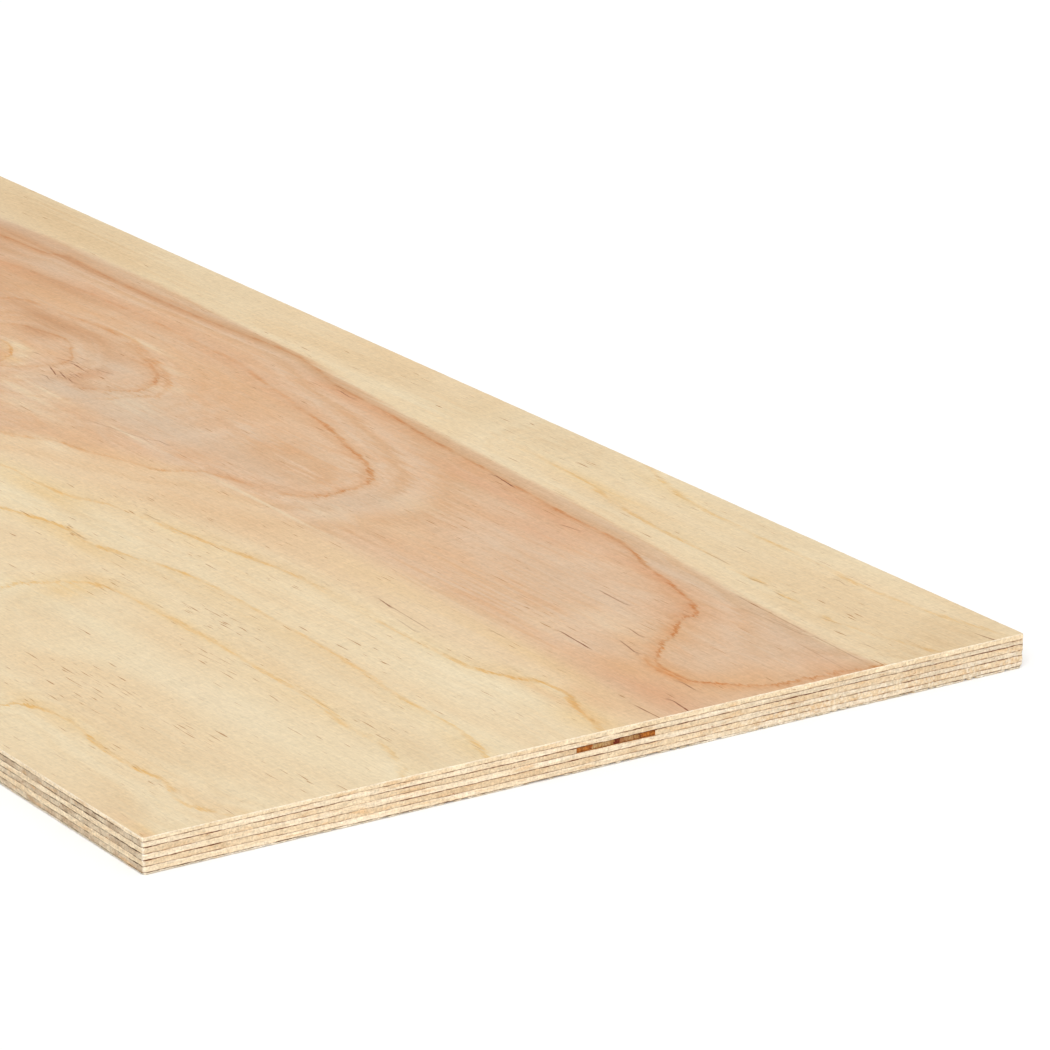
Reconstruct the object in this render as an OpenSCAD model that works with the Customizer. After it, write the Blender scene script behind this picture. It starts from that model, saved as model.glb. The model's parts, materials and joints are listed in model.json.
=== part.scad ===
// Plywood sheet: rotary-cut veneers glued face to face, each with its grain across the one below it.
// The sheet lies flat with its face up. X runs along the face grain, Y across it and Z up.
// The origin is under the middle of the sheet, on the surface that it lies on.

/* [Sheet] */
// Length of the sheet, along the face grain
sheet_length = 1250; // [600:1:2500]
// Width of the sheet, across the face grain
sheet_width = 500; // [300:1:1250]

/* [Plies] */
// Thickness of the face veneer after sanding
face_thickness = 2.4; // [0.6:0.1:4]
// Thickness of each crossband, a ply with its grain across the sheet
crossband_thickness = 2.8; // [1:0.1:4]
// Thickness of each core ply, an inner ply with its grain along the sheet
core_thickness = 3; // [1:0.1:4]
// Thickness of the back veneer after sanding
back_thickness = 1.2; // [0.6:0.1:4]

/* [Open knot in the upper core ply] */
// Diameter of the knot hole, which the saw cut in half at the +X edge
hole_diameter = 45; // [36:0.5:80]
// Distance of the knot hole from the sheet's centre line, towards +Y
hole_offset = 6; // [-100:1:100]
// Diameter of the knot that is left in the hole
knot_diameter = 32; // [16:0.5:34]
// How far the knot has grown into the wood at the back of the hole
knot_root = 1.2; // [0.4:0.1:4]
// How far the knot stands to the +Y side of its hole
knot_shift = 0.8; // [-1.5:0.1:1.5]
// How far the knot's broken end stands back from the sawn edge
knot_setback = 1; // [0.2:0.1:6]

/* [Hidden] */
$fn = 96;

// Height of the underside of each ply, from the back veneer up
lower_crossband_z = back_thickness;
lower_core_z = lower_crossband_z + crossband_thickness;
middle_crossband_z = lower_core_z + core_thickness;
upper_core_z = middle_crossband_z + crossband_thickness;
upper_crossband_z = upper_core_z + core_thickness;
face_z = upper_crossband_z + crossband_thickness;

// Distance of the knot's centre behind the sawn edge
knot_depth = (hole_diameter - knot_diameter) / 2 + knot_root;

face_colour = "#e6cba8";
crossband_colour = "#efe2cb";
core_colour = "#d9b78a";
back_colour = "#dec49c";

// Outline of the sheet as the saw leaves it
module sheet_outline() {
    square([sheet_length, sheet_width], center = true);
}

// One veneer of the sheet's full outline
module ply(underside, thickness) {
    translate([0, 0, underside])
        linear_extrude(thickness)
            sheet_outline();
}

// The knot, with its end broken off behind the sawn edge, which is at X = 0
module knot_outline() {
    intersection() {
        translate([-knot_depth, knot_shift])
            circle(d = knot_diameter);
        translate([-hole_diameter - knot_setback, -hole_diameter])
            square([hole_diameter, 2 * hole_diameter]);
    }
}

// The open pockets that the loose bark left between the knot and the ply
module bark_pockets() {
    difference() {
        circle(d = hole_diameter);
        knot_outline();
    }
}

module face_veneer() {
    color(face_colour)
        ply(face_z, face_thickness);
}

module upper_crossband() {
    color(crossband_colour)
        ply(upper_crossband_z, crossband_thickness);
}

// The core ply whose open knot shows in the sawn edge
module upper_core_ply() {
    color(core_colour)
        translate([0, 0, upper_core_z])
            linear_extrude(core_thickness)
                difference() {
                    sheet_outline();
                    translate([sheet_length / 2, hole_offset])
                        bark_pockets();
                }
}

module middle_crossband() {
    color(crossband_colour)
        ply(middle_crossband_z, crossband_thickness);
}

module lower_core_ply() {
    color(core_colour)
        ply(lower_core_z, core_thickness);
}

module lower_crossband() {
    color(crossband_colour)
        ply(lower_crossband_z, crossband_thickness);
}

module back_veneer() {
    color(back_colour)
        ply(0, back_thickness);
}

face_veneer();
upper_crossband();
upper_core_ply();
middle_crossband();
lower_core_ply();
lower_crossband();
back_veneer();
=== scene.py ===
import json
import math

import bpy
import numpy as np
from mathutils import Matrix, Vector


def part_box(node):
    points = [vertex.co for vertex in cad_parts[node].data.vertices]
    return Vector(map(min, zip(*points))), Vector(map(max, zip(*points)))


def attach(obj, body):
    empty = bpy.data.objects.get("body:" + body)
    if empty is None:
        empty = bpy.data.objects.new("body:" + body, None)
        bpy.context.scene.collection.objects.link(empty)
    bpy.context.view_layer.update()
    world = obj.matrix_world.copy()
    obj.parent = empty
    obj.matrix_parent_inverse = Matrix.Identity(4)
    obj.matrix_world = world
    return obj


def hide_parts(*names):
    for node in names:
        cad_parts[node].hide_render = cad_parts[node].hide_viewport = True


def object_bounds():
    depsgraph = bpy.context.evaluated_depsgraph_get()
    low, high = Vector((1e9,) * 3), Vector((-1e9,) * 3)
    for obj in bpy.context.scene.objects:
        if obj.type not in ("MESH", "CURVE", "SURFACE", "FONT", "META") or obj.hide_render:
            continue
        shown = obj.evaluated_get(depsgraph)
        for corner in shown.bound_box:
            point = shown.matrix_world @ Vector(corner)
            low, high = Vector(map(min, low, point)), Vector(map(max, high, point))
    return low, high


# Plywood sheet: seven cross-laid birch veneers with sawn edges. Every ply is a closed skin made from
# arrays. Lengths below are millimetres in the sheet's own frame: X along the face grain, Z up.
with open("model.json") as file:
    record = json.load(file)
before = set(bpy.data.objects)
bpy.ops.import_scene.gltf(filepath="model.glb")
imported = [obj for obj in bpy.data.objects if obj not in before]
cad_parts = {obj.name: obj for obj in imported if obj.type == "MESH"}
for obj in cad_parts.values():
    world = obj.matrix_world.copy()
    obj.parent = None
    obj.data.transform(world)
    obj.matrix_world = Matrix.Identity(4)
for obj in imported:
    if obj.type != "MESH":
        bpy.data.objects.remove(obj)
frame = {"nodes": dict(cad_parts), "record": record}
cadLow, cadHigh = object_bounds()
mm = 0.001
halfLength = cadHigh.x / mm
halfWidth = cadHigh.y / mm
plies = sorted(frame["nodes"], key=lambda node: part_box(node)[0].z)  # from the back up to the face
facePly = len(plies) - 1
seamHeights = [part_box(node)[0].z / mm for node in plies] + [cadHigh.z / mm]
slotOf = {part["node"]: part["material_slot"] for part in frame["record"]["subparts"]}
print("frame:", len(plies), "plies, heights", [round(height, 2) for height in seamHeights])


def toLinear(hexColour):
    # sRGB hex to linear light, with the straight foot of the sRGB curve near black
    values = np.array([int(hexColour[i:i + 2], 16) for i in (1, 3, 5)]) / 255
    linear = np.where(values <= 0.04045, values / 12.92, ((values + 0.055) / 1.055) ** 2.4)
    return (*linear.tolist(), 1.0)


def smoothStep(low, high, value):
    # 0 below low, 1 above high and an S-shaped rise between them
    share = np.clip((value - low) / (high - low), 0, 1)
    return share * share * (3 - 2 * share)


def softStretch(start, end, blur, value):
    # 1 between start and end, falling to 0 over the blur on both sides of each
    return smoothStep(start - blur, start + blur, value) * (1 - smoothStep(end - blur, end + blur, value))


noiseLayers = 16
noiseSide = 256  # points along a layer before it repeats
lattice = np.random.default_rng(1250).random((noiseLayers, noiseSide, noiseSide)) * 2 - 1


def grainNoise(along, across, layer):
    # random heights on whole-number points, joined by a smooth step both ways, from -1 to 1
    heights = lattice[layer % noiseLayers]
    i = np.floor(along).astype(int)
    j = np.floor(across).astype(int)
    u = smoothStep(0, 1, along - i)
    v = smoothStep(0, 1, across - j)
    here = i % noiseSide
    ahead = (i + 1) % noiseSide
    near = heights[here, j % noiseSide] * (1 - u) + heights[ahead, j % noiseSide] * u
    far = heights[here, (j + 1) % noiseSide] * (1 - u) + heights[ahead, (j + 1) % noiseSide] * u
    return near * (1 - v) + far * v


# The outline that all the plies share: mesh columns round the sheet from the front corner (+X, -Y),
# anticlockwise seen from above. Sides 0 and 2 are the ends, 1 and 3 the long edges.
outline = {"endStep": 0.5, "edgeStep": 1.0, "cornerStep": 0.25, "cornerReach": 4.0}
sideShift = 1000  # sets the four sides apart in the noise
oppositeShift = 90  # sets opposite sides apart in the torn wood


def sidePlaces(length, step):
    # distances along one side from its first corner, closer together near both corners
    fine = np.arange(0, outline["cornerReach"], outline["cornerStep"])
    count = round((length - 2 * outline["cornerReach"]) / step)
    middle = np.linspace(outline["cornerReach"], length - outline["cornerReach"], count + 1)
    return np.concatenate([fine, middle, length - fine[:0:-1]])


endPlaces = sidePlaces(2 * halfWidth, outline["endStep"])
edgePlaces = sidePlaces(2 * halfLength, outline["edgeStep"])
endLine = np.full(len(endPlaces), halfLength)
edgeLine = np.full(len(edgePlaces), halfWidth)
columnX = np.concatenate([endLine, halfLength - edgePlaces, -endLine, edgePlaces - halfLength])
columnY = np.concatenate([endPlaces - halfWidth, edgeLine, halfWidth - endPlaces, -edgeLine])
columnSide = np.repeat([0, 1, 2, 3], [len(endPlaces), len(edgePlaces)] * 2)
columnShare = np.concatenate([endPlaces / (2 * halfWidth), edgePlaces / (2 * halfLength)] * 2)
onEnd = columnSide % 2 == 0
onKnotEnd = columnSide == 0
columnCount = len(columnX)
run = np.where(onEnd, columnY, columnX) + sideShift * columnSide  # place along the edge

# How the saw, the glue and handling left the edges; names with From hold where a change starts and ends
sawnEdge = {
    "rows": (0, 0.06, 0.16, 0.33, 0.5, 0.67, 0.84, 0.94, 1),  # mesh rows, as shares of a ply's thickness
    "sawMark": 0.06,
    "sawPitch": 1.9,
    "sawSlant": 0.3,
    "sawHeight": 30,
    "tornEnd": 0.9,  # how much rougher the knot end gets towards +Y
    "tornFrom": (-20, 120),
    "pitShadeDepth": 0.12,  # torn wood deeper than this is darkened with painted shade of its pits
    "pitShadeSpan": 0.35,
    "glueGroove": 0.16,
    "glueReach": 0.5,
    "gapBlur": 2,
    "topArris": 0.22,
    "bottomArris": 0.5,
    "chip": 0.8,  # share of the back veneer that the chips along its arris take at the knot end
    "chipElsewhere": 0.3,  # how much of that they take on the other sides
    "chipFrom": (-260, 40),
    "chipDrift": 31,
    "seamWave": 0.12,
    "seamLengths": (48, 10),  # of the slow and the quick wave of a glue line
    "seamQuick": 0.4,
    "driftReach": 200,
    "plainRadius": 0.6,
    "radiusSpread": 0.3,
    "radiusPitch": 0.9,
}
# Torn wood where the saw crossed the grain and where it followed it: depth, size along and up of the fine
# marks, the same of the coarse marks, and how much the coarse ones count
tornWood = {"across": (0.17, (1.1, 0.7), (3.6, 1.4), 0.8), "along": (0.08, (11, 0.4), (30, 0.9), 0.6)}
# How unevenly a mark runs along the edge: pitch, noise at which it starts and is full, least share, layer
unevenMarks = {
    "chip": (1.9, 0.0, 0.6, 0.0, 12),
    "glue": (7, -0.3, 0.5, 0.3, 5),
    "arris": (3.1, -0.4, 0.8, 0.35, 6),
    "crushed": (1.3, -0.5, 0.6, 0.0, 7),
    "splinter": (0.9, 0.1, 0.6, 0.0, 8),
}
# Wood crushed pale at the worn corners; along the face's arris and where the knot end splintered low down
# the pale is crushed wood and a painted highlight
paleWood = {
    "cornerFrom": (0.7, 1.4),  # radius at which a corner starts to look crushed, and does so fully
    "corner": (0.25, 0.6),
    "arris": 0.7,
    "arrisReach": 0.4,
    "arrisLeast": 0.4,
    "splinter": 0.4,
    "splinterFrom": (-10, 130),
    "splinterTop": (6, 14),
    "height": 1.1,
}
# Radius of the worn corners at some heights, as (height, radius)
wornCorners = {
    (1, -1): ((0, 2.4), (1.5, 1.6), (9, 1.3), (16, 1.6), (18, 1.2)),
    (1, 1): ((0, 3.2), (2, 1.3), (4, 0.6), (6.6, 0.6), (7.4, 1.5), (8.6, 1.5), (9.6, 0.5), (18, 0.5)),
}
# Drift of the six glue lines at the knot end, at the three places along Y, from the back veneer up
seamDriftPlaces = (-228, 0, 228)
seamDrift = (
    (-0.2, -0.3, 0.0),
    (0.0, -0.3, -0.4),
    (0.0, -0.3, -0.2),
    (0.3, -0.1, -0.55),
    (0.3, -0.3, -0.3),
    (0.3, -0.4, -0.6),
)
# How dark the glue lines are, from the back veneer up, on the ends and on the long edges
glueForce = {"ends": (0.9, 0.64, 0.95, 0.6, 1.0, 0.7), "edges": (0.8, 0.7, 0.75, 0.85, 0.75, 0.8)}
# Open stretches of a glue line, where the gap is darkened with painted shade: seam counted from the back,
# side, from and to along it, extra darkness. A stretch that is less dark than the rest of its line is below
# zero.
glueGapShade = (
    (4, 3, 597, 622, 1.2),
    (3, 0, -236, -212, 0.3),
    (5, 0, -232, -214, 0.2),
    (5, 0, -14, 47, 0.5),
    (5, 0, 108, 130, 0.6),
    (5, 0, 216, 249, 0.2),
    (6, 0, 10, 24, 0.5),
    (3, 0, -20, 6, 0.5),
    (3, 0, 228, 249, 0.1),
    (5, 0, -249, -246, 0.4),
    (3, 0, -249, -245, 0.5),
    (2, 3, 616, 624, 0.8),
    (5, 3, 560, 590, 0.5),
    (6, 3, 480, 520, 0.4),
    (6, 3, 560, 600, 0.5),
    (1, 0, 60, 155, -0.45),
)
# The open knot in the upper core ply, sawn through at the +X end
openKnot = {
    "node": "upper_core_ply",
    "hole": 45.0,
    "offset": 6.0,
    "knot": 32.0,
    "root": 1.2,
    "shift": 0.8,
    "setback": 1.0,
    "bark": 1.4,  # depth at which bark still fills the pockets beside the knot
    "rough": 0.25,
    "roughSize": (1.6, 0.9),
    "leastDepth": 0.2,
}


def seamHeight(seam):
    # height of one glue line round the outline: its CAD height, a slow wave and its drift at the knot end
    height = np.full(columnCount, seamHeights[seam])
    if 0 < seam < len(plies):
        slowLength, quickLength = sawnEdge["seamLengths"]
        slow = grainNoise(columnX / slowLength + 9 * seam, columnY / slowLength, 0)
        quick = grainNoise(columnX / quickLength, columnY / quickLength + 5 * seam, 1)
        drift = np.interp(columnY, seamDriftPlaces, seamDrift[seam - 1])
        height += sawnEdge["seamWave"] * (slow + sawnEdge["seamQuick"] * quick)
        height += drift * smoothStep(halfLength - sawnEdge["driftReach"], halfLength, columnX)
    return height


def cornerRadius(z):
    # radius of the nearest corner at each height, a little uneven
    radius = np.full(z.shape, sawnEdge["plainRadius"])
    for (signX, signY), table in wornCorners.items():
        heights, radii = zip(*table)
        here = (np.sign(columnX) == signX) & (np.sign(columnY) == signY)
        radius = np.where(here, np.interp(z, heights, radii), radius)
    spread = grainNoise(z / sawnEdge["radiusPitch"], columnSide + z * 0, 2)
    return radius * (1 + sawnEdge["radiusSpread"] * spread)


def tornDepth(along, z, cut, seed):
    # how deep the saw tore: pits across the grain, long shallow splinters along it, slanted marks on both
    depth, (fineLong, fineHigh), (coarseLong, coarseHigh), coarseShare = tornWood[cut]
    torn = grainNoise(along / fineLong, z / fineHigh, seed)
    torn = torn + coarseShare * grainNoise(along / coarseLong, z / coarseHigh, seed + 1)
    slanted = (along + sawnEdge["sawSlant"] * z) / sawnEdge["sawPitch"]
    marks = grainNoise(slanted, z / sawnEdge["sawHeight"], seed + 2)
    return depth * np.clip(0.5 + 0.5 * torn, 0, None) + sawnEdge["sawMark"] * (0.5 + 0.5 * marks)


def unevenShare(mark, across):
    # a share from the least one to 1 that follows the noise along the edge
    pitch, start, full, least, layer = unevenMarks[mark]
    return least + (1 - least) * smoothStep(start, full, grainNoise(run / pitch, across, layer))


def knotDepth(y):
    # depth behind the sawn end: the knot's broken end, its round sides and the bark in the hole round it
    holeRadius = openKnot["hole"] / 2
    knotRadius = openKnot["knot"] / 2
    fromHole = y - openKnot["offset"]
    fromKnot = fromHole - openKnot["shift"]
    hole = np.sqrt(np.clip(holeRadius ** 2 - fromHole ** 2, 0, None))
    knotSide = np.sqrt(np.clip(knotRadius ** 2 - fromKnot ** 2, 0, None))
    knotFront = np.maximum(openKnot["setback"], holeRadius - knotRadius + openKnot["root"] - knotSide)
    depth = np.where(np.abs(fromKnot) < knotRadius, knotFront, hole)
    return np.where(np.abs(fromHole) < holeRadius, np.minimum(depth, openKnot["bark"]), 0)


def glueAlong(seam):
    # how dark one glue line is round the outline, with the painted shade of its open stretches
    force = np.where(onEnd, glueForce["ends"][seam - 1], glueForce["edges"][seam - 1])
    for gapSeam, side, start, end, extra in glueGapShade:
        inGap = softStretch(start, end, sawnEdge["gapBlur"], run - sideShift * side)
        force = force + extra * inGap * (seam == gapSeam) * (columnSide == side)
    return force


def plyEdge(ply):
    # the strip round one ply: rows up its thickness, columns round the outline. Corners are arcs that the
    # columns near them share out, and every point lies its torn depth inside the true outline.
    share = np.array(sawnEdge["rows"])[:, None]
    low = seamHeight(ply)
    high = seamHeight(ply + 1)
    if ply == 0:
        least = sawnEdge["chipElsewhere"]
        chipped = unevenShare("chip", run / sawnEdge["chipDrift"])
        chipped = chipped * (least + (1 - least) * onKnotEnd * smoothStep(*sawnEdge["chipFrom"], columnY))
        low = low + sawnEdge["chip"] * chipped * (high - low)
    z = low + (high - low) * share
    radius = cornerRadius(z)
    fromCorner = np.where(onEnd, halfWidth - np.abs(columnY), halfLength - np.abs(columnX))
    turn = np.clip(1 - fromCorner / radius, 0, 1) * math.pi / 4
    angle = np.where(onEnd, turn, math.pi / 2 - turn)
    rounded = fromCorner < radius
    reachX = np.where(onEnd | rounded, halfLength - radius * (1 - np.cos(angle)), np.abs(columnX))
    reachY = np.where(~onEnd | rounded, halfWidth - radius * (1 - np.sin(angle)), np.abs(columnY))

    # the saw crosses the grain at the ends of a ply whose grain runs along the sheet
    endCut, edgeCut = ("along", "across") if slotOf[plies[ply]] == "crossband" else ("across", "along")
    endDepth = tornDepth(columnY + 0 * z + oppositeShift * np.sign(columnX), z, endCut, 3 * ply)
    rougher = sawnEdge["tornEnd"] * smoothStep(*sawnEdge["tornFrom"], columnY) * (columnX > 0)
    endDepth = endDepth * (1 + rougher)
    edgeDepth = tornDepth(columnX + 0 * z + oppositeShift * np.sign(columnY), z, edgeCut, 3 * ply + 1)
    depth = endDepth * np.cos(angle) ** 2 + edgeDepth * np.sin(angle) ** 2
    glue = np.zeros(z.shape)
    for seam, distance in ((ply, z - low), (ply + 1, high - z)):
        near = np.clip(1 - distance / sawnEdge["glueReach"], 0, 1)
        if 0 < seam < len(plies):
            glue = np.maximum(glue, near * glueAlong(seam))
            depth = depth + sawnEdge["glueGroove"] * near ** 2 * unevenShare("glue", 0 * run + seam)
        else:
            arris = sawnEdge["topArris"] if seam else sawnEdge["bottomArris"]
            depth = depth + arris * near ** 2 * unevenShare("arris", 0 * run + seam)
    knotted = np.zeros(columnCount, bool)
    if plies[ply] == openKnot["node"]:
        recess = knotDepth(columnY) * onKnotEnd
        knotted = recess > 0
        sizeY, sizeZ = openKnot["roughSize"]
        rough = openKnot["rough"] * grainNoise(columnY / sizeY + 0 * z, z / sizeZ, 11)
        depth = np.where(knotted, np.clip(recess + rough, openKnot["leastDepth"], None), depth)
    x = np.sign(columnX) * (reachX - np.cos(angle) * depth)
    y = np.sign(columnY) * (reachY - np.sin(angle) * depth)

    broken = unevenShare("crushed", z / paleWood["height"])
    plain, extra = paleWood["corner"]
    wearAndHighlight = np.clip(turn / (math.pi / 4), 0, 1) * smoothStep(*paleWood["cornerFrom"], radius)
    wearAndHighlight = wearAndHighlight * (plain + extra * broken)
    # along the face's arris the pale band is partly crushed wood and partly a painted highlight on the
    # arris
    if ply == facePly:
        least = paleWood["arrisLeast"]
        arris = paleWood["arris"] * np.exp(-((high - z) / paleWood["arrisReach"]) ** 2)
        wearAndHighlight = np.maximum(wearAndHighlight, arris * (least + (1 - least) * broken))
    # pale splinters low down at the knot end: crushed fibres and a painted highlight on them
    splinter = smoothStep(*paleWood["splinterFrom"], columnY) * onKnotEnd
    splinter = splinter * (1 - smoothStep(*paleWood["splinterTop"], z))
    lit = unevenShare("splinter", z / paleWood["height"])
    wearAndHighlight = np.maximum(wearAndHighlight, paleWood["splinter"] * splinter * lit)
    # painted shade: the deeper torn pits are darkened in colour
    dark = np.clip((depth - sawnEdge["pitShadeDepth"]) / sawnEdge["pitShadeSpan"], 0, 1)
    return np.stack([x, y, z], -1), np.stack([glue, wearAndHighlight, dark], -1), knotted


def capGrid(cellsX, cellsY, inset, z):
    # a flat grid inside the outline, with the indices of its rim in the order of the outline's columns
    x = np.linspace(inset - halfLength, halfLength - inset, cellsX + 1)
    y = np.linspace(inset - halfWidth, halfWidth - inset, cellsY + 1)
    points = np.stack([*np.meshgrid(x, y, indexing="ij"), np.full((cellsX + 1, cellsY + 1), z)], -1)
    index = np.arange((cellsX + 1) * (cellsY + 1)).reshape(cellsX + 1, cellsY + 1)
    rim = np.concatenate([index[-1, :-1], index[:0:-1, -1], index[0, :0:-1], index[:-1, 0]])
    cells = np.stack([index[:-1, :-1], index[1:, :-1], index[1:, 1:], index[:-1, 1:]], -1)
    return points.reshape(-1, 3), rim, cells.reshape(-1, 4)


def rimTriangles(outer, rim, cellsX, cellsY):
    # joins the fine columns to the grid's rim: each column meets the nearest rim point of its own side
    cells = np.array([cellsY, cellsX, cellsY, cellsX])
    start = np.cumsum(cells) - cells
    meets = (start[columnSide] + np.round(columnShare * cells[columnSide]).astype(int)) % len(rim)
    after = np.roll(meets, -1)
    nextOuter = np.roll(outer, -1)
    fans = np.stack([outer, nextOuter, rim[meets]], -1)
    steps = np.stack([nextOuter, rim[after], rim[meets]], -1)
    return np.concatenate([fans, steps[after != meets]])


finishIndex = {"end": 0, "edge": 1, "under": 2, "top": 3, "knot": 4}  # order of a ply's materials


def plyMesh(ply, topCells, bottomCells):
    # the strip, a cap below and a cap above; faces in that order, all turned outwards
    strip, edge, knotted = plyEdge(ply)
    rows = len(strip)
    index = np.arange(rows * columnCount).reshape(rows, columnCount)
    ahead = np.roll(index, -1, axis=1)
    quads = [np.stack([index[:-1], ahead[:-1], ahead[1:], index[1:]], -1).reshape(-1, 4)]
    triangles = []
    points = [strip.reshape(-1, 3)]
    count = rows * columnCount
    for level, (cells, inset) in enumerate((bottomCells, topCells)):
        grid, rim, cellQuads = capGrid(*cells, inset, seamHeights[ply + level])
        outer = index[-1] if level else index[0]
        fans = rimTriangles(outer, rim + count, *cells)
        quads.append(cellQuads + count if level else cellQuads[:, ::-1] + count)
        triangles.append(fans if level else fans[:, ::-1])
        points.append(grid)
        count += len(grid)
    points = np.concatenate(points)
    edge = np.concatenate([edge.reshape(-1, 3), np.zeros((len(points) - rows * columnCount, 3))])
    side = np.where(onEnd, finishIndex["end"], finishIndex["edge"])
    finishes = [np.tile(np.where(knotted, finishIndex["knot"], side), rows - 1)]
    for caps in (quads[1:], triangles):
        for level, name in enumerate(("under", "top")):
            finishes.append(np.full(len(caps[level]), finishIndex[name]))
    faces = quads + triangles
    corners = np.concatenate([part.ravel() for part in faces])
    sizes = np.concatenate([np.full(len(part), part.shape[1]) for part in faces])
    mesh = bpy.data.meshes.new(plies[ply] + "_wood")
    mesh.vertices.add(len(points))
    mesh.vertices.foreach_set("co", (points * mm).astype(np.float32).ravel())
    mesh.loops.add(len(corners))
    mesh.loops.foreach_set("vertex_index", corners.astype(np.int32))
    mesh.polygons.add(len(sizes))
    mesh.polygons.foreach_set("loop_start", (np.cumsum(sizes) - sizes).astype(np.int32))
    mesh.polygons.foreach_set("material_index", np.concatenate(finishes).astype(np.int32))
    mesh.polygons.foreach_set("use_smooth", np.arange(len(sizes)) < len(quads[0]))
    mesh.update(calc_edges=True)
    mesh.attributes.new("edge", "FLOAT_VECTOR", "POINT").data.foreach_set("vector", edge.ravel())
    return mesh, points


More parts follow.
